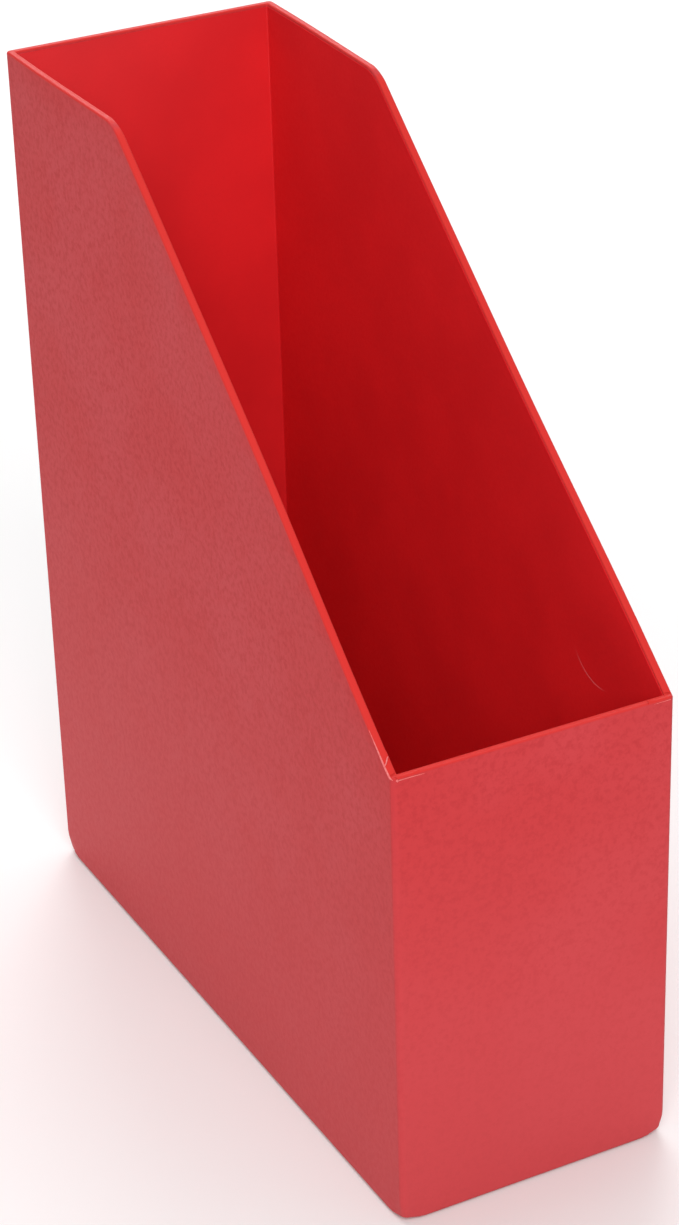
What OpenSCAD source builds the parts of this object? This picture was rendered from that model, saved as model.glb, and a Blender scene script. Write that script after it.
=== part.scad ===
/*
  Open-topped desk file for magazines and loose papers. Five greyboard panels
  make the box. Gummed paper stays hold the panels edge to edge, a grained red
  cover is drawn over them and turned in over the mouth and under the base,
  and a smooth red lining hides the turn-ins inside.

  The origin is the middle of the face the file stands on. +Z is up, -Y is the
  low front that the papers are taken from, and +Y is the tall back.
*/

/* [Overall size] */
// Width across the outside of the side walls
outer_w = 98; // [80:1:130]
// Depth from the low front to the tall back
outer_d = 260; // [230:1:320]
// Height of the back, and of the level part of the sides
back_h = 310; // [270:1:370]
// Height of the low front
front_h = 165; // [120:1:205]
// Level part of the side's top edge, measured from the back of the file
side_top = 81; // [50:1:110]

/* [Boards] */
// Thickness of the greyboard panels
board_t = 1.6; // [1.2:0.1:3]
// Radius rubbed onto the boards' upright outer edges
edge_r = 1; // [0.6:0.1:1.4]

/* [Corner stays] */
// Thickness of the gummed paper that holds the boards together
stay_t = 0.1; // [0.08:0.01:0.2]
// Width of each leg of a folded stay
stay_leg = 15; // [10:1:20]
// Gap between the end of one stay and the next
stay_gap = 1; // [0.5:0.5:3]

/* [Cover] */
// Thickness of the cover with its glue
cover_t = 0.5; // [0.4:0.05:0.8]
// Depth of the cover's turn-in inside the mouth
mouth_turn_in = 15; // [8:1:20]
// Width of the cover's turn-in under the base
base_turn_in = 16; // [12:1:24]
// Width of the side cover's lap round each front corner
lap_w = 10; // [6:1:16]
// Thickness the lap is pared down to beneath the front cover
lap_t = 0.2; // [0.15:0.01:0.25]
// Margin between the base cover and the outside of the file
base_margin = 3; // [2:0.5:6]

/* [Lining] */
// Thickness of the lining card
lining_t = 0.7; // [0.6:0.05:1.2]
// Strip of cover left showing between the mouth edge and the lining
lining_reveal = 1; // [0.5:0.1:3]

/* [Hidden] */
$fn = 48;

// Colours
BOARD = "#a39b8f";
PAPER = "#b9966a";
COVER = "#c6424a";
LINING = "#b5181f";

// Heights, from the table up
boards_z = 2 * cover_t;               // underside of every board
floor_z = boards_z + board_t;         // top of the base board
walls_top = back_h - cover_t;         // top edge of the back board
front_top = front_h - cover_t;        // top edge of the front board

// Insets from the outside of the file, in plan
inner_face = cover_t + board_t;       // inside of the wall boards
turn_in_face = inner_face + cover_t;  // inside of the mouth turn-in
lining_face = inner_face + lining_t;  // inside of the wall linings

// The side's top edge: a level run at the back, then a slope that meets the front board
foot_y = -outer_d / 2 + inner_face;
knee_y = outer_d / 2 - side_top;
slope = atan2(walls_top - front_top, knee_y - foot_y);
skew = tan(slope / 2);                // how far the knee and the foot shift per mm of inset
past = 10;                            // overshoot of a cutting solid

// A size with its inset taken off both ends
function within(size, inset) = size - 2 * inset;

// Rectangle with true round corners, centred
module plan(w, d, r) {
    square([w - 2 * r, d], center = true);
    square([w, d - 2 * r], center = true);
    for (sx = [-1, 1], sy = [-1, 1])
        translate([sx * (w / 2 - r), sy * (d / 2 - r)]) circle(r);
}

// Everything below a line drawn at a given inset under the mouth of the file
module below_mouth(inset, z_from) {
    shift = (inset - cover_t) * skew;
    rotate([90, 0, 90])
        translate([0, 0, -outer_w / 2 - past])
            linear_extrude(outer_w + 2 * past)
                polygon([
                    [-outer_d / 2 - past, z_from],
                    [outer_d / 2 + past, z_from],
                    [outer_d / 2 + past, back_h - inset],
                    [knee_y + shift, back_h - inset],
                    [foot_y + shift, front_h - inset],
                    [-outer_d / 2 - past, front_h - inset]
                ]);
}

// Upright block as wide and deep as the file less an inset all round
module block(inset, z_from, z_to, r = 0) {
    translate([0, 0, z_from])
        linear_extrude(z_to - z_from)
            if (r > 0) plan(within(outer_w, inset), within(outer_d, inset), r);
            else square([within(outer_w, inset), within(outer_d, inset)], center = true);
}

// Box given by its low corner and its high corner
module span(low, high) {
    translate(low) cube(high - low);
}

// ---------------------------------------------------------------- boards

module boards_outline() {
    block(cover_t, boards_z, back_h, edge_r);
}

module base_board() {
    color(BOARD) block(inner_face, boards_z, floor_z);
}

// Board across the front (side = -1) or the back (side = 1), to its own height
module end_board(side, top) {
    color(BOARD) intersection() {
        boards_outline();
        translate([0, side * (outer_d / 2 - cover_t - board_t / 2), (boards_z + top) / 2])
            cube([outer_w, board_t, top - boards_z], center = true);
    }
}

// Board that fits between the end boards and carries the slope
module side_board(side) {
    color(BOARD)
        translate([side * (outer_w / 2 - cover_t - board_t / 2), 0, 0])
            rotate([90, 0, 90])
                translate([0, 0, -board_t / 2])
                    linear_extrude(board_t)
                        polygon([
                            [foot_y, boards_z],
                            [-foot_y, boards_z],
                            [-foot_y, walls_top],
                            [knee_y, walls_top],
                            [foot_y, front_top]
                        ]);
}

module all_boards() {
    base_board();
    end_board(1, walls_top);
    end_board(-1, front_top);
    side_board(-1);
    side_board(1);
}

// ---------------------------------------------------------------- stays

// Paper folded round one upright edge of the boards
module corner_stay(sx, sy, top) {
    reach = cover_t + stay_leg;
    color(PAPER) intersection() {
        difference() {
            block(cover_t - stay_t, boards_z, top, edge_r + stay_t);
            block(cover_t, boards_z - past, top + past, edge_r);
        }
        translate([sx * (outer_w - reach) / 2, sy * (outer_d - reach) / 2, top / 2])
            cube([reach, reach, 2 * top], center = true);
    }
}

// Paper folded round the middle of a bottom edge; length runs along Y, wall face towards +X
module base_stay(half_size, length) {
    face = half_size - cover_t;
    color(PAPER) difference() {
        span([face - stay_leg, -length / 2, boards_z - stay_t],
             [face + stay_t, length / 2, boards_z + stay_leg]);
        span([face - stay_leg - past, -length / 2 - past, boards_z],
             [face, length / 2 + past, boards_z + stay_leg + past]);
    }
}

module side_base_stay(side) {
    rotate([0, 0, side > 0 ? 0 : 180])
        base_stay(outer_w / 2, within(outer_d, cover_t + stay_leg + stay_gap));
}

module end_base_stay(side) {
    rotate([0, 0, side * 90])
        base_stay(outer_d / 2, within(outer_w, cover_t + stay_leg + stay_gap));
}

module all_stays() {
    for (sx = [-1, 1]) {
        corner_stay(sx, 1, walls_top);
        corner_stay(sx, -1, front_top);
        side_base_stay(sx);
        end_base_stay(sx);
    }
}

// ---------------------------------------------------------------- covers

// Space that the cover leaves open: inside its turn-in, and over the level front edge
module open_room() {
    half_room = outer_w / 2 - turn_in_face;
    block(turn_in_face, boards_z, back_h + past);
    span([-half_room, -outer_d / 2 - past, front_h], [half_room, foot_y + past, back_h + past]);
    intersection() {
        block(inner_face, boards_z, back_h + past);
        below_mouth(mouth_turn_in, boards_z - past);
    }
}

// All of the cover on the walls, with its turn-ins, before it is cut into two sheets
module wall_cover() {
    difference() {
        intersection() {
            block(0, cover_t, back_h, edge_r + cover_t);
            below_mouth(0, cover_t - past);
        }
        all_boards();
        all_stays();
        open_room();
        block(base_turn_in, cover_t - past, boards_z + past);
    }
}

// Where the front sheet lies: over the pared laps, and alone between them
module front_sheet_zone() {
    corner = outer_w / 2 - edge_r - cover_t;
    between_laps = outer_w / 2 - lap_w;
    front = -outer_d / 2;
    span([-corner, front - past, -past], [corner, front + cover_t - stay_t - lap_t, front_top]);
    span([-between_laps, front - past, -past], [between_laps, front + base_turn_in + past, front_h + past]);
}

module side_and_back_cover() {
    color(COVER) difference() {
        wall_cover();
        front_sheet_zone();
    }
}

module front_cover() {
    color(COVER) intersection() {
        wall_cover();
        front_sheet_zone();
    }
}

// Sheet under the base: it laps over the turn-ins and is what the file stands on
module base_cover() {
    color(COVER) difference() {
        block(base_margin, 0, boards_z, edge_r);
        difference() {
            block(-past, cover_t, boards_z + past);
            block(base_turn_in, 0, boards_z + 2 * past);
        }
        all_stays();
    }
}

// ---------------------------------------------------------------- linings

// Linings of all four walls as one ring, before it is cut at the corners
module wall_lining() {
    difference() {
        intersection() {
            block(inner_face, floor_z, back_h);
            below_mouth(lining_reveal, 0);
        }
        block(lining_face, floor_z - past, back_h + past);
        intersection() {
            difference() {
                block(inner_face - past, floor_z, back_h + past);
                block(turn_in_face, floor_z - past, back_h + 2 * past);
            }
            difference() {
                block(-past, floor_z, back_h + past);
                below_mouth(mouth_turn_in, 0);
            }
        }
    }
}

// The end linings run the full width, up to just under their own wall's top edge
module end_lining(side, wall_h) {
    inside_y = outer_d / 2 - inner_face;
    color(LINING) intersection() {
        wall_lining();
        translate([0, side * (inside_y - lining_t / 2), (wall_h - lining_reveal) / 2])
            cube([outer_w, lining_t, wall_h - lining_reveal], center = true);
    }
}

// The side linings fit between the end linings
module side_lining(side) {
    color(LINING) intersection() {
        wall_lining();
        translate([side * (outer_w / 2 - inner_face - lining_t / 2), 0, back_h / 2])
            cube([lining_t, within(outer_d, lining_face), 2 * back_h], center = true);
    }
}

module base_lining() {
    color(LINING) block(lining_face, floor_z, floor_z + lining_t);
}

base_board();
end_board(1, walls_top);  // back_board
end_board(-1, front_top);  // front_board
side_board(-1);  // left_side_board
side_board(1);  // right_side_board
corner_stay(-1, 1, walls_top);  // corner_stay_back_left
corner_stay(1, 1, walls_top);  // corner_stay_back_right
corner_stay(-1, -1, front_top);  // corner_stay_front_left
corner_stay(1, -1, front_top);  // corner_stay_front_right
end_base_stay(1);  // base_stay_back
end_base_stay(-1);  // base_stay_front
side_base_stay(-1);  // base_stay_left
side_base_stay(1);  // base_stay_right
side_and_back_cover();
front_cover();
base_cover();
end_lining(1, back_h);  // back_lining
end_lining(-1, front_h);  // front_lining
side_lining(-1);  // left_lining
side_lining(1);  // right_lining
base_lining();
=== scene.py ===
# %% [markdown]
# # A covered-board magazine file
# The real file is five sheets of greyboard held edge to edge with gummed paper. A grained
# red cover is drawn over them and turned in at the mouth, and smooth red linings hide the
# turned-in edges. This lesson starts from the finished boards and dresses them: each cover
# is folded from a flat sheet, as a box maker folds it.

# %% Load the boards, and note the size they must keep
from math import atan2, cos, pi, radians, sin, tan

import bmesh
import bpy
from mathutils import Matrix, Vector


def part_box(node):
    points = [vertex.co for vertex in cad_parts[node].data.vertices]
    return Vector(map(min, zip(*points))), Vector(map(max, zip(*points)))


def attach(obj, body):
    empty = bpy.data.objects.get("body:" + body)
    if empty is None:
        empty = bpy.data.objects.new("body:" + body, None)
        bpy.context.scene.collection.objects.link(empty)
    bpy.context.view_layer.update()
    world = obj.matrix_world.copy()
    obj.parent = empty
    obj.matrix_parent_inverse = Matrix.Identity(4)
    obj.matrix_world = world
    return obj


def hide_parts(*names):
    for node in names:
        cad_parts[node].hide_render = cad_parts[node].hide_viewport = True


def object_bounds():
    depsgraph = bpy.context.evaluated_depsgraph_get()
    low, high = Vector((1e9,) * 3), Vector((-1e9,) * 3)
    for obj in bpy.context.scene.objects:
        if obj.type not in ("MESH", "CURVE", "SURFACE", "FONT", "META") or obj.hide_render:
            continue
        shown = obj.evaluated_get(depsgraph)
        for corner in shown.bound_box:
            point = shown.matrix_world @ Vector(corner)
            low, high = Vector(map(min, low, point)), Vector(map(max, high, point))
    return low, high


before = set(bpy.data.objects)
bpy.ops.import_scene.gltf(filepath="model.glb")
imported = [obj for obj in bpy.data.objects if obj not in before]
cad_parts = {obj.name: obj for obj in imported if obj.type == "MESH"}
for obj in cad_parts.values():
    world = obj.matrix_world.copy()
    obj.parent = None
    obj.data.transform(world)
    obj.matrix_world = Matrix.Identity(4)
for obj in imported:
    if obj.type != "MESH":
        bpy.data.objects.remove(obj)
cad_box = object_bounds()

MM = 0.001
print("overall size, mm:", [round((b - a) / MM, 1) for a, b in zip(*cad_box)])

# %% [markdown]
# ## Sizes
# Every size is read from the boards and covers that were loaded, so a dressed piece lands
# on its board with nothing to line up by eye. The names run from the outside in.

# %% Read the driving sizes
half_w = cad_box[1][0]
half_d = cad_box[1][1]
back_h = cad_box[1][2]
front_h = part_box("front_cover")[1][2]
cover_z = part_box("side_and_back_cover")[0][2]
board_side_low, board_side_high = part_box("left_side_board")
cover_t = board_side_low[0] + half_w
board_t = board_side_high[0] - board_side_low[0]
lining_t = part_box("base_lining")[1][2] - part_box("base_lining")[0][2]
inner_face = cover_t + board_t
turn_in_face = inner_face + cover_t
lining_face = inner_face + lining_t

# %% [markdown]
# The side's top edge is level at the back and slopes down to the front. Its bend, the knee,
# is the frontmost point of the board's level edge.

# %% Find the knee and the slope
board_points = [v.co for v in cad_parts["left_side_board"].data.vertices]
board_top = max(p.z for p in board_points)
knee_y = min(p.y for p in board_points if p.z > board_top - 0.1 * MM)
foot_y = -half_d + inner_face
slope = atan2(board_top - (front_h - cover_t), knee_y - foot_y)
skew = tan(slope / 2)
print("knee at", round(knee_y / MM, 1), "mm, slope", round(slope * 180 / pi, 1), "degrees")


def mouth_z(y, inset=0.0):
    """Height of the mouth line over a place along the side, less an inset square to it."""
    shift = (inset - cover_t) * skew
    if y <= foot_y + shift:
        return front_h - inset
    if y >= knee_y + shift:
        return back_h - inset
    return front_h - inset + (y - foot_y - shift) * tan(slope)


# %% [markdown]
# ## Camera
# The camera stands at the front left, well above the file, and looks down into its mouth.
# It comes first, because every later choice is judged through it.

# %% Place the camera
AZIMUTH, ELEVATION, ROLL = radians(-27.5), radians(30.2), radians(-1.53)
AIM = Vector((11.7, 0, 97.4)) * MM
DISTANCE = 1161 * MM
FOCAL_LENGTHS_PER_HEIGHT = 2.802
SHIFT_X, SHIFT_Y = -0.0245, 0.0985
SENSOR = 36.0

back = Vector((sin(AZIMUTH) * cos(ELEVATION), -cos(AZIMUTH) * cos(ELEVATION), sin(ELEVATION)))
bpy.ops.object.select_all(action="DESELECT")
bpy.ops.object.camera_add(location=AIM + back * DISTANCE)
camera = bpy.context.object
camera.name = "camera"
turn = back.to_track_quat("Z", "Y").to_matrix().to_4x4()
camera.matrix_world = Matrix.Translation(AIM + back * DISTANCE) @ turn @ Matrix.Rotation(ROLL, 4, "Z")
camera.data.sensor_width = SENSOR
camera.data.lens = SENSOR * FOCAL_LENGTHS_PER_HEIGHT
camera.data.shift_x = SHIFT_X
camera.data.shift_y = SHIFT_Y
bpy.context.scene.camera = camera

# %% [markdown]
# ## Hand tools
# A few small helpers do what a modeller does by hand: add a block, pick edges by where they
# are, cut straight through, and fold a free edge over.

# %% Add a block and step in and out of edit mode


def only(piece):
    """Leaves one piece selected and active, in object mode."""
    if bpy.context.object and bpy.context.object.mode != "OBJECT":
        bpy.ops.object.mode_set(mode="OBJECT")
    bpy.ops.object.select_all(action="DESELECT")
    piece.select_set(True)
    bpy.context.view_layer.objects.active = piece


def block(name, low, high):
    """A block from its low corner to its high corner, opened for editing."""
    bpy.ops.object.select_all(action="DESELECT")
    middle = [(a + b) / 2 for a, b in zip(low, high)]
    size = [b - a for a, b in zip(low, high)]
    bpy.ops.mesh.primitive_cube_add(size=1, location=middle, scale=size)
    bpy.ops.object.transform_apply(location=True, rotation=True, scale=True)
    piece = bpy.context.object
    piece.name = piece.data.name = name
    bpy.ops.object.mode_set(mode="EDIT")
    return piece


def close(piece):
    """Leaves edit mode and hands the piece on."""
    bpy.ops.object.mode_set(mode="OBJECT")
    return piece


# %% Pick by place


def pick(kind, rule):
    """Selects each vertex, edge or face whose middle and direction pass a rule."""
    bpy.ops.mesh.select_mode(type=kind)
    bpy.ops.mesh.select_all(action="DESELECT")
    mesh = bpy.context.object.data
    shape = bmesh.from_edit_mesh(mesh)
    if kind == "VERT":
        found = [v for v in shape.verts if rule(v.co, v.normal)]
    elif kind == "EDGE":
        found = [e for e in shape.edges
                 if rule((e.verts[0].co + e.verts[1].co) / 2, (e.verts[1].co - e.verts[0].co).normalized())]
    else:
        found = [f for f in shape.faces if rule(f.calc_center_median(), f.normal)]
    for item in found:
        item.select_set(True)
    bmesh.update_edit_mesh(mesh)
    return len(found)


def near(a, b, gap=0.02 * MM):
    return abs(a - b) < gap


# %% Cut, fold and soften


def cut(point, way, **clear):
    """Cuts the whole mesh with a plane, and can clear away one side."""
    bpy.ops.mesh.select_all(action="SELECT")
    bpy.ops.mesh.bisect(plane_co=point, plane_no=way, threshold=0.001 * MM, **clear)


def cut_stations(axis, places):
    """Rings of edges across one axis, so that the piece can bend there."""
    way = [float(i == axis) for i in range(3)]
    for place in places:
        cut([w * place for w in way], way)


def fold(rule, target):
    """Extrudes the picked free edges, then slides each new vertex to where target says."""
    pick("EDGE", rule)
    bpy.ops.mesh.extrude_edges_move()
    bpy.ops.mesh.select_mode(type="VERT")
    mesh = bpy.context.object.data
    shape = bmesh.from_edit_mesh(mesh)
    moves = {v.index: Vector(target(v.co)) - v.co for v in shape.verts if v.select}
    for index, move in moves.items():
        bpy.ops.mesh.select_all(action="DESELECT")
        shape = bmesh.from_edit_mesh(mesh)
        shape.verts.ensure_lookup_table()
        shape.verts[index].select_set(True)
        bpy.ops.transform.translate(value=move)
    bpy.ops.mesh.select_all(action="SELECT")
    bpy.ops.mesh.remove_doubles(threshold=0.01 * MM)


def free_edge(rule):
    """Limits a rule to edges at the rim of an open sheet."""
    mesh = bpy.context.object.data
    rim = {tuple(round(c, 7) for c in (e.verts[0].co + e.verts[1].co) / 2)
           for e in bmesh.from_edit_mesh(mesh).edges if e.is_boundary}
    return lambda mid, way: tuple(round(c, 7) for c in mid) in rim and rule(mid, way)


def round_sharp(radius, segments, rule=lambda mid, way: True):
    """Bevels the edges that turn by more than 50 degrees and pass a rule."""
    mesh = bpy.context.object.data
    sharp = {tuple(round(c, 7) for c in (e.verts[0].co + e.verts[1].co) / 2)
             for e in bmesh.from_edit_mesh(mesh).edges
             if len(e.link_faces) == 2 and e.calc_face_angle(0) > radians(50)}
    count = pick("EDGE", lambda mid, way: tuple(round(c, 7) for c in mid) in sharp and rule(mid, way))
    if count:
        bpy.ops.mesh.bevel(offset=radius, segments=segments, profile=0.5, affect="EDGES")
    return count


def thicken(piece, thickness):
    """Gives an open sheet its thickness, inwards from the face that shows."""
    only(piece)
    wall = piece.modifiers.new("thickness", "SOLIDIFY")
    wall.thickness = thickness
    wall.offset = -1
    wall.use_even_offset = True
    bpy.ops.object.modifier_apply(modifier=wall.name)


# %% [markdown]
# ## The side-and-back cover
# One sheet goes round the left, back and right boards, with a narrow lap on each front
# corner. It could be a shell with its edges bevelled, but folding it keeps the real order:
# walls first, then the strips over the mouth, then the turn-ins inside and under the base.

# %% Sizes of the covers' sheets and folds
SHEET_T = 0.2 * MM           # cover material alone; the glue line fills the rest of its gap
CORNER_R = 1.5 * MM          # upright corners
MOUTH_R = 0.62 * MM          # folds over the board edges
BASE_R = 1.35 * MM           # softer fold at the table
KNEE_CUT = 5.5 * MM          # length of level edge taken up by the rounding of the knee
KNEE_STEPS = 8
CORNER_STEPS = 4
BASE_STEPS = 5
MOUTH_STEPS = 4
FREE_EDGE_DROP = 0.9 * MM    # the lap's free top edge lies this far under the front's edge
STRIP_SLANT = 0.6 * MM       # slanting cut at the front end of the mouth strip
LAP = 10 * MM                # lap on the front face
LAP_Y = -half_d + SHEET_T    # the lap lies one sheet behind the front cover
LAP_LIFT = BASE_R + 0.4 * MM    # it ends this far above the base
TURN_IN = 15 * MM
BASE_TURN_IN = 16 * MM
foot_out_y = foot_y - cover_t * skew
knee_out_y = knee_y - cover_t * skew
inner_x = half_w - turn_in_face
inner_y = half_d - turn_in_face

# %% Walls of the side-and-back cover
side_cover = block("cover_side_and_back", (-half_w, LAP_Y, cover_z), (half_w, half_d, back_h))
cut_stations(1, (foot_out_y, knee_out_y))
cut_stations(0, (-half_w + LAP, half_w - LAP))


def lower_to_slope(piece_top, knee, foot, low):
    """Slides the top edge's points down until they lie on the slope."""
    def height(y):
        return low if y <= foot else low + (piece_top - low) * (y - foot) / (knee - foot)
    mesh = bpy.context.object.data
    rows = sorted({round(v.co.y, 6) for v in bmesh.from_edit_mesh(mesh).verts
                   if near(v.co.z, piece_top) and v.co.y < knee - 0.01 * MM})
    for row in rows:
        pick("VERT", lambda p, n: near(p.z, piece_top) and near(p.y, row))
        bpy.ops.transform.translate(value=(0, 0, height(row) - piece_top))


lower_to_slope(back_h, knee_out_y, foot_out_y, front_h)
pick("EDGE", lambda mid, way: near(mid.z, back_h) and near(mid.y, knee_out_y) and abs(way.x) > 0.9)
bpy.ops.mesh.bevel(offset=KNEE_CUT, segments=KNEE_STEPS, affect="EDGES")
pick("FACE", lambda mid, way: abs(way.z) > 0.3 or (way.y < -0.9 and abs(mid.x) < half_w - LAP))
bpy.ops.mesh.delete(type="FACE")
pick("EDGE", lambda mid, way: abs(way.z) > 0.9 and near(abs(mid.x), half_w)
     and (near(mid.y, half_d) or near(mid.y, LAP_Y)))
bpy.ops.mesh.bevel(offset=CORNER_R, segments=CORNER_STEPS, affect="EDGES")
pick("VERT", lambda p, n: p.y < foot_out_y - 0.05 * MM and p.z > front_h - MM)
bpy.ops.transform.translate(value=(0, 0, -FREE_EDGE_DROP))

# %% [markdown]
# The strips over the mouth are folded next. Round each back corner the new points are
# gathered into the inside corner, which makes the mitre. The strip ends at the front corner
# with a slanting cut.

# %% Fold the cover over the mouth and down inside


def over_mouth(p):
    """Straight across the board's edge, to the inside face of the turn-in."""
    slant = STRIP_SLANT if p.y < foot_out_y + 0.1 * MM else 0
    x = max(-inner_x, min(inner_x, p.x))
    y = min(p.y, inner_y) + slant
    return (x, y, p.z + slant * tan(slope))


def down_inside(p):
    """Square down from the mouth line, by the depth of the turn-in."""
    y = p.y if near(p.y, inner_y) or p.y < foot_out_y + MM else p.y + TURN_IN * skew
    return (p.x, y, p.z - TURN_IN)


def on_mouth(mid):
    return mid.z > front_h + 0.3 * MM and mid.y > foot_out_y


def on_inside_face(mid):
    return near(max(abs(mid.x) / inner_x, mid.y / inner_y), 1, 1e-4) and abs(mid.x) <= inner_x + 0.01 * MM


fold(free_edge(lambda mid, way: on_mouth(mid) and abs(way.z) < 0.8), over_mouth)
fold(free_edge(lambda mid, way: on_mouth(mid) and on_inside_face(mid)), down_inside)


# %% Fold the cover under the base


def under_base(p):
    """Level, towards the middle, with mitred corners."""
    edge_x, edge_y = half_w - BASE_TURN_IN, half_d - BASE_TURN_IN
    return (max(-edge_x, min(edge_x, p.x)), max(-edge_y, min(edge_y, p.y)), p.z)


fold(free_edge(lambda mid, way: near(mid.z, cover_z) and not near(mid.y, LAP_Y)), under_base)
low_folds = round_sharp(BASE_R, BASE_STEPS, lambda mid, way: near(mid.z, cover_z))
high_folds = round_sharp(MOUTH_R, MOUTH_STEPS)
pick("VERT", lambda p, n: near(p.y, LAP_Y) and near(p.z, cover_z))
bpy.ops.transform.translate(value=(0, 0, LAP_LIFT))
print("folds rounded:", low_folds, "under the base and", high_folds, "at the mouth")
close(side_cover)
thicken(side_cover, SHEET_T)

# %% [markdown]
# ## The front cover
# The front sheet is glued on over the side sheet's laps. Its upright edges are pared thin and
# rubbed down round the corners, so they hardly show. At the top it folds over the board's
# edge and runs down inside; two small tongues run under the ends of the sloping strips.

# %% Fold the front cover
FRONT_END = 0.3 * MM         # how far inside the file's side the front sheet ends
FRONT_R = 1.4 * MM           # how it is rubbed down round the upright corners
TOP_DROP = 0.25 * MM         # the front strip lies this far under the side strips
TONGUE = 8 * MM              # length of the tongues under the strips
TONGUE_INSET = 0.8 * MM
FRONT_STEPS = 5
front_top_z = front_h - TOP_DROP
front_edge_x = half_w - FRONT_END
tongue_x = half_w - TONGUE_INSET
tongue_y = foot_y + (TOP_DROP - cover_t) * skew
wrap_y = -half_d + FRONT_R

front_cover = block("cover_front", (-front_edge_x, -half_d, cover_z),
                    (front_edge_x, -inner_y, front_top_z))
cut_stations(0, (-inner_x, inner_x))
cut_stations(1, (tongue_y, wrap_y))
pick("FACE", lambda mid, way: way.y > 0.9 or (abs(way.x) > 0.9 and mid.y > wrap_y) or way.z < -0.9
     or (way.z > 0.9 and mid.y > tongue_y and abs(mid.x) > inner_x))
bpy.ops.mesh.delete(type="FACE")
pick("EDGE", lambda mid, way: abs(way.z) > 0.9 and near(mid.y, -half_d) and near(abs(mid.x), front_edge_x))
bpy.ops.mesh.bevel(offset=FRONT_R - 0.02 * MM, segments=FRONT_STEPS, affect="EDGES")


def under_front(p):
    """Level, towards the middle, mitred to meet the side sheet's turn-ins."""
    edge_x = half_w - BASE_TURN_IN
    return (max(-edge_x, min(edge_x, p.x)), -half_d + BASE_TURN_IN, p.z)


fold(free_edge(lambda mid, way: near(mid.z, cover_z)), under_front)
fold(free_edge(lambda mid, way: near(mid.y, -inner_y) and near(mid.z, front_top_z)),
     lambda p: (p.x, p.y, p.z - TURN_IN))
fold(free_edge(lambda mid, way: near(mid.y, tongue_y) and abs(mid.x) > inner_x),
     lambda p: (max(-tongue_x, min(tongue_x, p.x)), p.y + TONGUE * cos(slope), p.z + TONGUE * sin(slope)))
round_sharp(BASE_R, BASE_STEPS, lambda mid, way: near(mid.z, cover_z))
round_sharp(MOUTH_R, MOUTH_STEPS)
close(front_cover)
thicken(front_cover, SHEET_T)
print("front cover points:", len(front_cover.data.vertices))

# %% [markdown]
# ## Corner tabs
# At each end of the front's top edge a narrow tab of the side sheet is left over, pressed
# across the fold. It is a strip folded down the middle, with its free end lifting a little.

# %% Fold one tab and mirror it
TAB_LENGTH = 9.5 * MM
TAB_START = 1.6 * MM         # where the tab begins, in from the file's side
TAB_TOP = 1.0 * MM           # its width on the top edge
TAB_DOWN = 0.8 * MM          # its width on the front face
TAB_T = 0.12 * MM
TAB_FOLD_R = 0.5 * MM
TAB_LIFT = 0.35 * MM         # how far its free end rises
TAB_LIFT_BACK = 0.4          # share of the lift by which that end also leans back
TAB_STATIONS = (0.25, 0.5, 0.7, 0.85)


def corner_tab(name, side):
    """A folded strip on the front's top edge, from the corner inwards."""
    outer = side * (half_w - TAB_START)
    inner = side * (half_w - TAB_LENGTH)
    low = (min(outer, inner), -half_d - TAB_T, front_h - TAB_DOWN)
    high = (max(outer, inner), -half_d + TAB_TOP, front_h)
    tab = block(name, low, high)
    pick("FACE", lambda mid, way: way.y > 0.9 or abs(way.x) > 0.9 or way.z < -0.9)
    bpy.ops.mesh.delete(type="FACE")
    round_sharp(TAB_FOLD_R, 3)
    cut_stations(0, [side * (half_w - TAB_LENGTH * share) for share in TAB_STATIONS])
    for share, lift in ((TAB_STATIONS[-1], 0.35 * TAB_LIFT), (1.0, TAB_LIFT)):
        place = side * (half_w - TAB_LENGTH * share)
        pick("VERT", lambda p, n: near(p.x, place) and p.z > front_h - 0.6 * MM)
        bpy.ops.transform.translate(value=(0, TAB_LIFT_BACK * lift, lift))
    close(tab)
    thicken(tab, TAB_T)
    return tab


tabs = [corner_tab("cover_tab_left", -1), corner_tab("cover_tab_right", 1)]

# %% [markdown]
# ## Raw edges, painted as highlights
# Where the side sheet was trimmed at the front corners, its cut edge curls up and catches the
# light; its pale colour is a painted highlight. A hair-thin tube along a short path is enough. A curve with
# a round section makes it, because its thickness can taper from point to point.

# %% Lay the raw edges
CUT_EDGE_HIGHLIGHT_R = 0.26 * MM


def cut_edge_highlight(name, path):
    """A thin closed tube through points in mm, each with its share of the full radius."""
    bpy.ops.object.select_all(action="DESELECT")
    bpy.ops.curve.primitive_nurbs_path_add(location=(0, 0, 0))
    edge = bpy.context.object
    edge.name = name
    edge.data.splines.clear()
    line = edge.data.splines.new("POLY")
    line.points.add(len(path) - 1)
    for point, (x, y, z, share) in zip(line.points, path):
        point.co = (x * MM, y * MM, z * MM, 1)
        point.radius = share
    edge.data.dimensions, edge.data.use_fill_caps = "3D", True
    edge.data.bevel_depth, edge.data.bevel_resolution = CUT_EDGE_HIGHLIGHT_R, 2
    only(edge)
    bpy.ops.object.convert(target="MESH")
    bpy.ops.object.mode_set(mode="EDIT")
    bpy.ops.mesh.select_all(action="SELECT")
    bpy.ops.mesh.remove_doubles(threshold=0.001 * MM)
    bpy.ops.mesh.normals_make_consistent(inside=False)
    return close(bpy.context.object)


def on_slope(behind):
    """Height of the mouth line at a distance behind the front, in mm."""
    return mouth_z(behind * MM - half_d) / MM


# %% [markdown]
# Each path is a list of points: how far in from the side, how far behind the front, the
# height, all in mm, and the share of the full radius. The tabs' paths run along their lower
# edge, and thicken where the end of the tab curls up.

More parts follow.
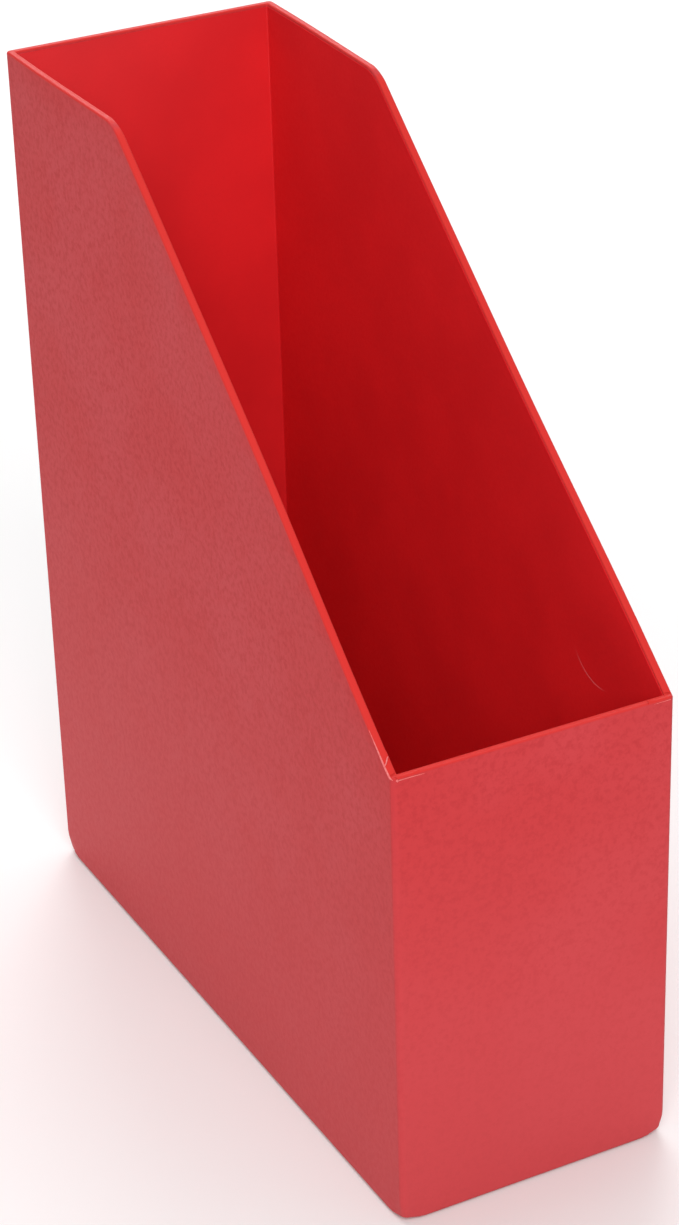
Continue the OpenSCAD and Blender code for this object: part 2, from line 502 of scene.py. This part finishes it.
# %% Draw the paths of the raw edges
top = front_h / MM
tab_low = top - 1.0
# the pale finish of these edges is a painted highlight where they catch the light
CUT_EDGE_HIGHLIGHT_PATHS = {
    "raw_edge_tab_left": (-1, [
        (1.3, 0, tab_low, 0.5), (1.7, 0, tab_low, 2.0), (2.3, 0, tab_low - 0.05, 0.8),
        (6.2, 0, tab_low - 0.1, 0.65), (9.0, 0, tab_low - 0.15, 0.6), (10.8, 0, tab_low - 0.25, 0.2)]),
    "raw_edge_slope_left": (-1, [
        (0.12, 14, on_slope(14) - 0.25, 0.2), (0.08, 10, on_slope(10) - 0.22, 0.7),
        (0.02, 6, on_slope(6) - 0.25, 1.1), (0.04, 3.4, on_slope(3.4) - 0.3, 1.2),
        (0.08, 1.4, top - 0.45, 1.2), (0.5, 0.5, top - 0.8, 0.4)]),
    "raw_edge_cut_left": (-1, [
        (0.2, 4.6, on_slope(4.6) - 0.1, 0.6), (0.9, 5.0, on_slope(5.0) + 0.22, 0.9),
        (1.7, 5.9, on_slope(5.9) + 0.3, 1.0), (2.3, 6.4, on_slope(6.4) + 0.15, 0.5)]),
    "raw_edge_tab_right": (1, [
        (1.5, 0, tab_low, 0.6), (3.5, 0, tab_low - 0.05, 0.4), (7.5, 0, tab_low - 0.1, 0.15)]),
}
cut_edge_highlights = []
for name, (side, points) in CUT_EDGE_HIGHLIGHT_PATHS.items():
    path = [(side * (half_w / MM - inward), behind - half_d / MM, height, share)
            for inward, behind, height, share in points]
    cut_edge_highlights.append(cut_edge_highlight(name, path))
print("cut edges painted as highlights:", len(cut_edge_highlights))

# %% [markdown]
# ## The base cover
# A stiff sheet closes the bottom and hides the turn-ins. The file stands on it, set in from
# the sides by a narrow margin, so only its edges need softening.

# %% Base cover
BASE_CORNER_R = 1.2 * MM
BASE_RUB_IN, BASE_RUB_UP = 0.35 * MM, 0.15 * MM    # how its rim is rubbed off
base_low, base_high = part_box("base_cover")


def on_rim(mid):
    return max(abs(mid.x) - base_high[0], abs(mid.y) - base_high[1]) > -0.1 * MM


base_cover = block("cover_base", base_low, (base_high[0], base_high[1], cover_z))
pick("EDGE", lambda mid, way: abs(way.z) > 0.9)
bpy.ops.mesh.bevel(offset=BASE_CORNER_R, segments=CORNER_STEPS, affect="EDGES")
pick("FACE", lambda mid, way: way.z < -0.9)
bpy.ops.mesh.inset(thickness=BASE_RUB_IN)
pick("EDGE", lambda mid, way: near(mid.z, base_low[2]) and on_rim(mid))
bpy.ops.transform.translate(value=(0, 0, BASE_RUB_UP))
close(base_cover)

# %% [markdown]
# ## Linings
# The four wall linings start as one ring, so that their inside corners can be rounded in a
# single bevel, as paper rounds itself in a corner. Copies of the ring are then cut down to
# one wall each, cut to the mouth line, and thinned where they lie over the turn-in.

# %% The ring of linings
LINING_REVEAL = 1.0 * MM
CREASE_R = 0.4 * MM
CREASE_STEPS = 5
REBATE_SPARE = 0.4 * MM      # room below the turn-in, and length of the ramp after it
HAIR = 0.005 * MM            # keeps a cut from lying in a face
floor_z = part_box("base_board")[1][2]
ring_x, ring_y = half_w - inner_face, half_d - inner_face
room_x, room_y = half_w - lining_face, half_d - lining_face
slope_way = (0, -sin(slope), cos(slope))

ring = block("lining_ring", (-ring_x, -ring_y, floor_z), (ring_x, ring_y, back_h - LINING_REVEAL))
pick("FACE", lambda mid, way: abs(way.z) > 0.9)
bpy.ops.mesh.inset(thickness=lining_t)
pick("FACE", lambda mid, way: abs(way.z) > 0.9 and abs(mid.x) < 0.1 * MM and abs(mid.y) < 0.1 * MM)
bpy.ops.mesh.bridge_edge_loops()
pick("EDGE", lambda mid, way: abs(way.z) > 0.9 and near(abs(mid.x), room_x) and near(abs(mid.y), room_y))
bpy.ops.mesh.bevel(offset=CREASE_R, segments=CREASE_STEPS, affect="EDGES")
close(ring)
print("ring faces:", len(ring.data.polygons))

# %% Cut each wall's lining from a copy of the ring


def keep_within(limits):
    """Trims the mesh to one side of each plane and closes every cut."""
    for point, way in limits:
        cut(point, way, clear_outer=True)
        bpy.ops.mesh.select_all(action="SELECT")
        bpy.ops.mesh.fill_holes(sides=0)


def wall_lining(name, limits, thin_axis, thin_side):
    """One wall's lining, trimmed to its limits and rebated over the turn-in."""
    only(ring)
    bpy.ops.object.duplicate()
    piece = bpy.context.object
    piece.name = piece.data.name = name
    bpy.ops.object.mode_set(mode="EDIT")
    keep_within(limits)
    pick("EDGE", lambda mid, way: abs(way.x) > 0.9 and near(mid.z, back_h - LINING_REVEAL)
         and abs(mid.y - knee_y) < MM)
    bpy.ops.mesh.bevel(offset=KNEE_CUT - LINING_REVEAL * skew, segments=KNEE_STEPS, affect="EDGES")
    on_side = thin_axis == 0
    wall_top = front_h if not on_side and thin_side < 0 else back_h
    rebate = TURN_IN + REBATE_SPARE
    for depth in (rebate, rebate + REBATE_SPARE):
        if on_side:
            y = (foot_y + knee_y) / 2
            cut((0, y, mouth_z(y, depth)), slope_way)
        cut((0, 0, wall_top - depth), (0, 0, 1))

    def rebate_low(y):
        return mouth_z(y, rebate) if on_side else wall_top - rebate

    outside = thin_side * (ring_x if on_side else ring_y)
    pick("VERT", lambda p, n: near(p[thin_axis], outside) and p.z > rebate_low(p.y) - 0.05 * MM)
    move = [0, 0, 0]
    move[thin_axis] = -thin_side * cover_t
    bpy.ops.transform.translate(value=move)
    return piece


# %% The four wall linings
slope_point = (0, knee_y, mouth_z(knee_y, LINING_REVEAL))
side_linings = []
for side, word in ((-1, "left"), (1, "right")):
    limits = [((0, room_y - HAIR, 0), (0, 1, 0)), ((0, HAIR - room_y, 0), (0, -1, 0)),
              ((0, 0, 0), (-side, 0, 0)), (slope_point, slope_way)]
    piece = wall_lining("lining_" + word, limits, 0, side)
    side_linings.append(close(piece))
back_lining = close(wall_lining("lining_back", [((0, room_y + HAIR, 0), (0, -1, 0))], 1, 1))
front_lining = close(wall_lining("lining_front", [((0, -room_y - HAIR, 0), (0, 1, 0)),
                                 ((0, 0, front_h - LINING_REVEAL), (0, 0, 1))], 1, -1))
bpy.data.objects.remove(ring)

# %% Lining of the base
base_lining = block("lining_base", (-room_x, -room_y, floor_z), (room_x, room_y, floor_z + lining_t))
pick("EDGE", lambda mid, way: abs(way.z) > 0.9)
bpy.ops.mesh.bevel(offset=CREASE_R, segments=CREASE_STEPS, affect="EDGES")
pick("FACE", lambda mid, way: way.z > 0.9)
bpy.ops.mesh.inset(thickness=0.5 * MM)
close(base_lining)

# %% [markdown]
# ## The boards
# The boards lie hidden between cover and lining. They are made again because they bow with
# the sides, and because their lower edges are rubbed round: a sharp board would cut through
# a cover that is softer than it.

# %% Make the boards
EASE_STEPS = 3
board_ease = BASE_R - cover_t
board_x, board_y = half_w - cover_t, half_d - cover_t


def at_outside(mid, join=any):
    """On the boards' outer faces: on any of them, or on two at once for the upright edges."""
    return join((near(abs(mid.x), board_x), near(abs(mid.y), board_y)))


boards = {}
for node in ("base_board", "back_board", "front_board", "left_side_board", "right_side_board"):
    low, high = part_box(node)
    board = block(node.replace("_side", "") + "_eased", low, high)
    if "side" in node:
        cut_stations(1, (knee_y,))
        lower_to_slope(high[2], knee_y, foot_y, front_h - cover_t)
        pick("EDGE", lambda mid, way: abs(way.x) > 0.9 and near(mid.z, high[2]) and near(mid.y, knee_y))
        bpy.ops.mesh.bevel(offset=KNEE_CUT - cover_t * skew, segments=KNEE_STEPS, affect="EDGES")
    if node != "base_board":
        pick("EDGE", lambda mid, way: near(mid.z, low[2]) and at_outside(mid))
        bpy.ops.mesh.bevel(offset=board_ease, segments=EASE_STEPS, affect="EDGES")
    if node in ("back_board", "front_board"):
        pick("EDGE", lambda mid, way: abs(way.z) > 0.9 and at_outside(mid, all))
        bpy.ops.mesh.bevel(offset=CORNER_R - cover_t, segments=CORNER_STEPS, affect="EDGES")
    boards[node] = close(board)
print("boards eased by", round(board_ease / MM, 2), "mm along their lower edges")

# %% [markdown]
# ## The stays
# Gummed brown paper is folded round every edge before covering, and holds the boards
# together. Each stay is two faces of a block, rounded along their shared edge and thickened.
# Those on the upright edges stop just above the fold at the table.

# %% Fold the stays
STAY_CLEAR = 0.5 * MM        # gap between an upright stay and the fold at the table
stay_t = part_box("base_board")[0][2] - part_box("base_stay_left")[0][2]
stays = {}
for node in [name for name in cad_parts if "stay" in name]:
    low, high = [list(c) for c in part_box(node)]
    upright = node.startswith("corner")
    if upright:
        low[2] = cover_z + BASE_R + STAY_CLEAR
    across = Vector((1 if low[0] + high[0] > 0 else -1, 0, 0))
    along = Vector((0, 1 if low[1] + high[1] > 0 else -1, 0))
    ways = [across, along]
    if not upright:
        ways = [across if "left" in node or "right" in node else along, Vector((0, 0, -1))]
    stay = block(node + "_folded", low, high)
    pick("FACE", lambda mid, way: max(way.dot(w) for w in ways) < 0.9)
    bpy.ops.mesh.delete(type="FACE")
    round_sharp((CORNER_R if upright else BASE_R) - cover_t + stay_t, CORNER_STEPS)
    close(stay)
    thicken(stay, stay_t)
    stays[node] = stay
print("stays folded:", len(stays))

# %% [markdown]
# ## The bow of the sides
# Board walls with a free top edge draw inwards a little as the glue dries. Moving points
# one by one would tear the layers apart, so one lattice bends board, cover and lining
# together. It holds still at the corners, where the stays are, and along the base.

# %% The amount of bow
BOW = 2.4 * MM
BOW_START = 16 * MM          # clear of the stays at the corners and the base
BOW_RUN = 78 * MM            # length over which the bow grows
BOW_STEEPNESS = 1.5          # above 1, the bow gathers towards the mouth
LATTICE_POINTS = (2, 15, 13)


def ease(t):
    """Runs smoothly from 0 to 1 as t does, and holds there."""
    t = max(0.0, min(1.0, t))
    return t * t * (3 - 2 * t)


def bow(y, z):
    """How far a side wall has drawn in at a place."""
    along = ease((half_d - BOW_START - abs(y)) / BOW_RUN)
    up = max(0.0, min(1.0, (z - BOW_START) / (mouth_z(y) - BOW_START)))
    return BOW * along * up ** BOW_STEEPNESS


# %% Give the sides edges to bend at
SHEET_STEP, BOARD_STEP = 10, 13    # mm between rings of edges
side_boards = [boards["left_side_board"], boards["right_side_board"]]
for piece, step in ((side_cover, SHEET_STEP), (side_linings[0], SHEET_STEP),
                    (side_linings[1], SHEET_STEP), (side_boards[0], BOARD_STEP),
                    (side_boards[1], BOARD_STEP)):
    only(piece)
    bpy.ops.object.mode_set(mode="EDIT")
    rows = int(half_d / MM) // step
    cut_stations(1, [k * step * MM for k in range(-rows + 1, rows)])
    cut_stations(2, [k * step * MM for k in range(2, int(back_h / MM) // step)])
    close(piece)

# %% Bend the sides with one lattice
bpy.ops.object.select_all(action="DESELECT")
bpy.ops.object.add(type="LATTICE", location=(0, 0, back_h / 2))
cage = bpy.context.object
cage.scale = (2 * half_w, 2 * half_d, back_h)
cage.data.points_u, cage.data.points_v, cage.data.points_w = LATTICE_POINTS
for point in cage.data.points:
    y, z = point.co.y * 2 * half_d, (point.co.z + 0.5) * back_h
    point.co_deform.x = point.co.x * (1 - bow(y, z) / half_w)
for piece in (side_cover, *side_linings, *side_boards):
    only(piece)
    bend = piece.modifiers.new("bow", "LATTICE")
    bend.object = cage
    bpy.ops.object.modifier_apply(modifier=bend.name)
bpy.data.objects.remove(cage)
print("bow at the knee, mm:", round(bow(knee_y, back_h) / MM, 2))

# %% [markdown]
# ## Soft bottom corners
# The four corners a file is set down on are the first to be knocked round. A small lattice
# at each corner presses all the layers in together, most at the very corner and not at all
# a few millimetres away, so no layer breaks through another.

# %% Give the corners edges to bend at
KNOCK = 1.0 * MM             # how far the corner itself moves along each axis
KNOCK_REACH = 8.5 * MM       # how far from the corner the press is felt
KNOCK_STATIONS = (1.8, 3.2, 4.6, 6.4, 9.0)
CAGE = 12 * MM
CAGE_POINTS = 8
layers = [side_cover, front_cover, base_cover, back_lining, front_lining, base_lining,
          *side_linings, *boards.values(), *stays.values()]
for piece in layers:
    only(piece)
    bpy.ops.object.mode_set(mode="EDIT")
    for inset in KNOCK_STATIONS:
        cut_stations(0, (inset * MM - half_w, half_w - inset * MM))
        cut_stations(1, (inset * MM - half_d, half_d - inset * MM))
        cut_stations(2, (inset * MM,))
    close(piece)

# %% Press the bottom corners in
for side_x in (-1, 1):
    for side_y in (-1, 1):
        heart = Vector((side_x * (half_w - CAGE / 2), side_y * (half_d - CAGE / 2), CAGE / 2))
        bpy.ops.object.select_all(action="DESELECT")
        bpy.ops.object.add(type="LATTICE", location=heart)
        cage = bpy.context.object
        cage.scale = (CAGE, CAGE, CAGE)
        cage.data.points_u = cage.data.points_v = cage.data.points_w = CAGE_POINTS
        for point in cage.data.points:
            place = heart + point.co * CAGE
            share = ease(1 - (half_w - abs(place.x)) / KNOCK_REACH)
            share *= ease(1 - (half_d - abs(place.y)) / KNOCK_REACH) * ease(1 - place.z / KNOCK_REACH)
            point.co_deform = point.co + Vector((-side_x, -side_y, 1)) * KNOCK * share / CAGE
        for piece in layers:
            only(piece)
            press = piece.modifiers.new("press", "LATTICE")
            press.object = cage
            bpy.ops.object.modifier_apply(modifier=press.name)
        bpy.data.objects.remove(cage)
print("pieces pressed at the corners:", len(layers))

# %% [markdown]
# ## Shading the surfaces smooth
# Folds should catch light as soft lines, and flat faces should stay flat. Smoothing by
# angle keeps the cut ends crisp and lets every rounded fold run together.

# %% Smooth by angle
SMOOTH_UNDER = radians(40)
covers = [side_cover, front_cover, base_cover, *tabs, *cut_edge_highlights]
linings = [*side_linings, back_lining, front_lining, base_lining]
for piece in (*covers, *linings, *boards.values(), *stays.values()):
    only(piece)
    bpy.ops.object.shade_smooth_by_angle(angle=SMOOTH_UNDER)

# %% [markdown]
# ## Finishes
# All finishes are node materials on object coordinates, in metres, so a grain keeps its
# real size on every piece. First come small helpers that wire nodes in one line each.

# %% Node helpers


def new_material(name):
    """A new node material, with its tree, its shader and the object coordinates."""
    material = bpy.data.materials.new(name)
    material.use_nodes = True
    tree = material.node_tree
    shader = tree.nodes["Principled BSDF"]
    place = tree.nodes.new("ShaderNodeTexCoord").outputs["Object"]
    return material, tree, shader, place


def put(tree, kind, out=0, settings=(), **inputs):
    """Adds a node, sets it up, feeds its inputs and returns one output."""
    node = tree.nodes.new("ShaderNode" + kind)
    for key, value in dict(settings).items():
        setattr(node, key, value)
    for key, value in inputs.items():
        socket = node.inputs[int(key[1:])] if key[0] == "i" and key[1:].isdigit() else node.inputs[key]
        if isinstance(value, bpy.types.NodeSocket):
            tree.links.new(value, socket)
        else:
            socket.default_value = value
    return node.outputs[out]


def math(tree, operation, a, b=0.0):
    """One sum on two values or outputs."""
    return put(tree, "Math", 0, {"operation": operation}, i0=a, i1=b)


def spread(tree, value, low, high, to_low=0.0, to_high=1.0):
    """Maps a value's range smoothly onto another range."""
    return put(tree, "MapRange", 0, {"interpolation_type": "SMOOTHSTEP"},
               i0=value, i1=low, i2=high, i3=to_low, i4=to_high)


def noise(tree, place, size, detail=2.0, rough=0.5):
    """Noise whose blotches are about the given size, in metres."""
    return put(tree, "TexNoise", 0, Vector=place, Scale=1.0 / size, Detail=detail, Roughness=rough)


def blend(tree, share, first, second):
    """Mixes two colours by a share."""
    node = tree.nodes.new("ShaderNodeMix")
    node.data_type = "RGBA"
    for socket, value in ((node.inputs[0], share), (node.inputs[6], first), (node.inputs[7], second)):
        if isinstance(value, bpy.types.NodeSocket):
            tree.links.new(value, socket)
        else:
            socket.default_value = value if socket is node.inputs[0] else (*value, 1.0)
    return node.outputs[2]


# %% [markdown]
# ## Grained cover
# The cover is imitation leather: a red film embossed with fine pebbles, satin where it is
# flat and a little paler and smoother where it is stretched over a fold. Voronoi cells make
# the pebbles; a second, finer noise breaks their light up. The paler band is placed by distance from
# the mouth line and is partly wear and partly a painted highlight; wear is also placed by distance from the
# upright corners. The cover is painted paler towards the table, as a painted reflection of the pale floor.

# %% Distance to the mouth and to the corners


def steps_in(tree, place):
    """X, Y and Z of a place, each as an output."""
    node = tree.nodes.new("ShaderNodeSeparateXYZ")
    tree.links.new(place, node.inputs[0])
    return node.outputs


def depth_below_mouth(tree, place):
    """How far a point lies under the mouth line, square to it."""
    axes = steps_in(tree, place)
    level = math(tree, "SUBTRACT", back_h, axes[2])
    along = math(tree, "MULTIPLY", axes[1], -sin(slope))
    rise = math(tree, "MULTIPLY", axes[2], cos(slope))
    line = -sin(slope) * knee_y + cos(slope) * mouth_z(knee_y)
    sloped = math(tree, "SUBTRACT", line, math(tree, "ADD", along, rise))
    on_front = math(tree, "LESS_THAN", axes[1], foot_y)
    flat_front = math(tree, "SUBTRACT", front_h, axes[2])
    sides = math(tree, "MINIMUM", level, sloped)
    return math(tree, "ADD", math(tree, "MULTIPLY", on_front, flat_front),
                math(tree, "MULTIPLY", math(tree, "SUBTRACT", 1.0, on_front), sides))


def corner_nearness(tree, place, reach):
    """1 on the upright corners, falling to 0 within reach of them."""
    axes = steps_in(tree, place)
    gap_x = math(tree, "SUBTRACT", half_w, math(tree, "ABSOLUTE", axes[0]))
    gap_y = math(tree, "SUBTRACT", half_d, math(tree, "ABSOLUTE", axes[1]))
    return spread(tree, math(tree, "MAXIMUM", gap_x, gap_y), reach, 0.0)


# %% Grained cover material
COVER_RED = (0.555, 0.040, 0.044)
COVER_PALE = (0.565, 0.051, 0.058)
COVER_DEEP = (0.430, 0.025, 0.029)
# colour of the painted reflection of the pale floor on the lower cover
COVER_FLOOR_REFLECTION = (0.600, 0.072, 0.080)
FLOOR_REFLECTION_HEIGHT = 210 * MM       # the painted reflection of the pale floor starts here and grows downwards
# lighter red of the mouth band: partly wear, partly a painted highlight
FOLD_WORN_AND_HIGHLIGHT_RED = (0.660, 0.034, 0.028)
PEBBLE = 0.85 * MM
MOTTLE = 1.9 * MM
CLOUD = 55 * MM
WAVE = 30 * MM
FOLD_WORN_AND_HIGHLIGHT_WIDTH = 1.1 * MM         # width of the band along the mouth that is worn and painted with a highlight
CORNER_WEAR = 2.4 * MM


def grained_cover():
    """Embossed film, darker in its grain, worn and painted with a highlight along its folds, and painted
    paler towards the table as a reflection of the floor.
    """
    material, tree, shader, place = new_material("grained red cover")
    cells = put(tree, "TexVoronoi", 0, {"feature": "SMOOTH_F1"},
                Vector=place, Scale=1.0 / PEBBLE, Smoothness=0.6)
    fine = noise(tree, place, 0.35 * MM, 3.0)
    mottle = noise(tree, place, MOTTLE, 4.0, 0.6)
    cloud = noise(tree, place, CLOUD, 3.0)
    tint = blend(tree, spread(tree, cloud, 0.35, 0.68), COVER_RED, COVER_PALE)
    tint = blend(tree, spread(tree, mottle, 0.40, 0.72, 0.0, 0.5), tint, COVER_DEEP)
    # painted reflection of the pale floor: the cover is painted paler towards the table
    floor_reflection = spread(tree, steps_in(tree, place)[2], FLOOR_REFLECTION_HEIGHT, 0.0, 0.0, 0.7)
    tint = blend(tree, floor_reflection, tint, COVER_FLOOR_REFLECTION)
    # the mouth band's lighter red is partly wear and partly a painted highlight; the same mask also lowers
    # the roughness
    fold_wear_and_highlight = spread(tree, depth_below_mouth(tree, place), FOLD_WORN_AND_HIGHLIGHT_WIDTH, 0.1 * MM)
    tint = blend(tree, math(tree, "MULTIPLY", fold_wear_and_highlight, 0.9), tint, FOLD_WORN_AND_HIGHLIGHT_RED)
    corner = corner_nearness(tree, place, CORNER_WEAR)
    rub = math(tree, "MULTIPLY", corner, spread(tree, mottle, 0.35, 0.6, 0.1, 0.5))
    tint = blend(tree, rub, tint, COVER_PALE)
    tree.links.new(tint, shader.inputs["Base Color"])
    rough = spread(tree, mottle, 0.3, 0.7, 0.40, 0.50)
    gloss = math(tree, "ADD", rough, math(tree, "MULTIPLY", fold_wear_and_highlight, -0.12))
    tree.links.new(gloss, shader.inputs["Roughness"])
    pebbles = math(tree, "ADD", math(tree, "MULTIPLY", cells, -0.8), math(tree, "MULTIPLY", fine, 0.35))
    bump = put(tree, "Bump", 0, {}, Strength=0.30, Distance=0.12 * MM, Height=pebbles)
    wave = noise(tree, place, WAVE, 2.0)
    wavy = put(tree, "Bump", 0, {}, Strength=0.25, Distance=0.5 * MM, Height=wave, Normal=bump)
    tree.links.new(wavy, shader.inputs["Normal"])
    shader.inputs["Specular IOR Level"].default_value = 0.05
    shader.inputs["Sheen Weight"].default_value = 0.02
    shader.inputs["Sheen Roughness"].default_value = 0.5
    return material


# %% [markdown]
# ## Smooth lining
# The lining is coated paper, redder and glossier than the cover, with only faint fibre and
# a fine curved scratch inside the right wall where something was dragged across it.

# %% Smooth lining material
LINING_RED = (0.800, 0.0180, 0.0230)
LINING_DEEP = (0.720, 0.0150, 0.0200)
SCRATCH_PALE = (0.900, 0.220, 0.240)
SCRATCH_HEART = Vector((half_w - lining_face, -91 * MM, 166.4 * MM))
SCRATCH_R = 16.8 * MM
SCRATCH_FRONT, SCRATCH_BACK = -96 * MM, -76 * MM
SCRATCH_FADE_FRONT, SCRATCH_FADE_BACK = -88 * MM, -82 * MM
SCRATCH_HALF_WIDTH = 0.27 * MM


def scratch(tree, place):
    """1 on a fine arc: part of a circle on the wall, fading out at both ends."""
    gap = put(tree, "VectorMath", 1, {"operation": "DISTANCE"}, i0=place, i1=SCRATCH_HEART)
    off = math(tree, "ABSOLUTE", math(tree, "SUBTRACT", gap, SCRATCH_R))
    axes = steps_in(tree, place)
    front_end = spread(tree, axes[1], SCRATCH_FRONT, SCRATCH_FADE_FRONT)
    back_end = spread(tree, axes[1], SCRATCH_BACK, SCRATCH_FADE_BACK)
    low_half = math(tree, "LESS_THAN", axes[2], SCRATCH_HEART.z)
    core = spread(tree, off, SCRATCH_HALF_WIDTH, 0.3 * SCRATCH_HALF_WIDTH)
    line = math(tree, "MULTIPLY", core, low_half)
    return math(tree, "MULTIPLY", line, math(tree, "MULTIPLY", front_end, back_end))


def smooth_lining(name, scratched=False):
    """Coated paper, with or without the scratch."""
    material, tree, shader, place = new_material(name)
    cloud = noise(tree, place, 40 * MM, 3.0)
    fibre = noise(tree, place, 1.2 * MM, 4.0, 0.65)
    tint = blend(tree, spread(tree, cloud, 0.3, 0.7), LINING_RED, LINING_DEEP)
    tint = blend(tree, spread(tree, fibre, 0.45, 0.75, 0.0, 0.3), tint, LINING_DEEP)
    height = fibre
    if scratched:
        mark = scratch(tree, place)
        tint = blend(tree, mark, tint, SCRATCH_PALE)
        height = math(tree, "SUBTRACT", height, mark)
    tree.links.new(tint, shader.inputs["Base Color"])
    tree.links.new(spread(tree, fibre, 0.3, 0.7, 0.36, 0.46), shader.inputs["Roughness"])
    bump = put(tree, "Bump", 0, {}, Strength=0.10, Distance=0.08 * MM, Height=height)
    tree.links.new(bump, shader.inputs["Normal"])
    shader.inputs["Specular IOR Level"].default_value = 0.4
    return material


# %% Raw edge painted as a highlight, greyboard and gummed paper


def plain_paper(name, first, second, fibre_size, roughness):
    """Board and paper differ only in colour, fibre and roughness."""
    material, tree, shader, place = new_material(name)
    fibre = noise(tree, place, fibre_size, 5.0, 0.7)
    tint = blend(tree, spread(tree, fibre, 0.35, 0.7), first, second)
    tree.links.new(tint, shader.inputs["Base Color"])
    rough = spread(tree, fibre, 0.3, 0.7, roughness - 0.05, roughness + 0.05)
    tree.links.new(rough, shader.inputs["Roughness"])
    bump = put(tree, "Bump", 0, {}, Strength=0.2, Distance=0.1 * MM, Height=fibre)
    tree.links.new(bump, shader.inputs["Normal"])
    return material


greyboard = plain_paper("pressed greyboard", (0.38, 0.35, 0.30), (0.28, 0.26, 0.23), 1.5 * MM, 0.85)
gummed_paper = plain_paper("gummed brown paper", (0.45, 0.30, 0.16), (0.38, 0.25, 0.13), 0.8 * MM, 0.7)
# painted highlight: the cut edges are painted pale for the light they catch
cut_edge_highlight_finish = plain_paper("raw edge of the cover", (0.80, 0.20, 0.19), (0.70, 0.09, 0.09), 0.6 * MM, 0.55)
cover_finish = grained_cover()
lining_finish = smooth_lining("smooth red lining")
scratched_finish = smooth_lining("smooth red lining with a scratch", scratched=True)

# %% [markdown]
# ## Putting it together
# Every piece is told which body it rides on, which board or sheet it stands for, and which
# finish it takes. The loaded boards, covers and stays keep their place behind the pieces
# made for them, and get a finish as well.

# %% Finish and attach every piece


def dress(piece, finish, slot, *stands_for):
    """Gives a piece its finish, its body and the node it stands for; the slot is not used."""
    piece.data.materials.clear()
    piece.data.materials.append(finish)
    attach(piece, "root")
    if stands_for:
        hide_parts(*stands_for)


dress(side_cover, cover_finish, "grained_cover", "side_and_back_cover")
dress(front_cover, cover_finish, "grained_cover", "front_cover")
dress(base_cover, cover_finish, "grained_cover", "base_cover")
for tab in tabs:
    dress(tab, cover_finish, "grained_cover")
for edge in cut_edge_highlights:
    dress(edge, cut_edge_highlight_finish, "grained_cover")
dress(side_linings[0], lining_finish, "smooth_lining", "left_lining")
dress(side_linings[1], scratched_finish, "smooth_lining", "right_lining")
dress(back_lining, lining_finish, "smooth_lining", "back_lining")
dress(front_lining, lining_finish, "smooth_lining", "front_lining")
dress(base_lining, lining_finish, "smooth_lining", "base_lining")
for node, piece in boards.items():
    dress(piece, greyboard, "greyboard", node)
for node, piece in stays.items():
    dress(piece, gummed_paper, "gummed_paper", node)
for name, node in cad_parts.items():
    finish = gummed_paper if "stay" in name else greyboard
    for spot in node.material_slots:
        spot.material = finish

# %% [markdown]
# ## Floor and light
# A plain pale floor and three large soft lights stand in for a white studio. The brightest
# stands near the camera and a little to the left, and reaches down into the mouth. One
# overhead lifts the floor, and one behind gives the level edges of the mouth their shine.

# %% Floor
FLOOR_SIZE = 12              # metres
FLOOR_GAP = 0.02 * MM        # keeps the floor from lying in the base cover's face
bpy.ops.object.select_all(action="DESELECT")
bpy.ops.mesh.primitive_plane_add(size=FLOOR_SIZE, location=(0, 0, -FLOOR_GAP))
floor = bpy.context.object
floor.name = "floor"
floor_finish, tree, shader, place = new_material("pale floor")
shader.inputs["Base Color"].default_value = (0.92, 0.92, 0.92, 1)
shader.inputs["Roughness"].default_value = 0.9
floor.data.materials.append(floor_finish)

# %% Lights


def soft_light(name, azimuth, elevation, distance, size, power):
    """A square area light that faces the middle of the file, from a direction in degrees."""
    a, e = radians(azimuth), radians(elevation)
    way = Vector((sin(a) * cos(e), -cos(a) * cos(e), sin(e)))
    bpy.ops.object.select_all(action="DESELECT")
    bpy.ops.object.light_add(type="AREA", location=Vector((0, 0, back_h / 2)) + way * distance)
    light = bpy.context.object
    light.name = name
    light.data.size, light.data.energy = size, power
    light.rotation_euler = way.to_track_quat("Z", "Y").to_euler()


SKY_STRENGTH = 0.4
soft_light("near the camera", -23, 38, 2.0, 1.3, 25.5)
soft_light("overhead", 172, 66, 2.6, 2.2, 30)
soft_light("behind", 152, 32, 2.4, 1.2, 15)
world = bpy.data.worlds.new("studio")
bpy.context.scene.world = world
world.use_nodes = True
sky = world.node_tree.nodes["Background"]
sky.inputs[0].default_value = (1, 1, 1, 1)
sky.inputs[1].default_value = SKY_STRENGTH
bpy.context.scene.view_settings.view_transform = "Standard"
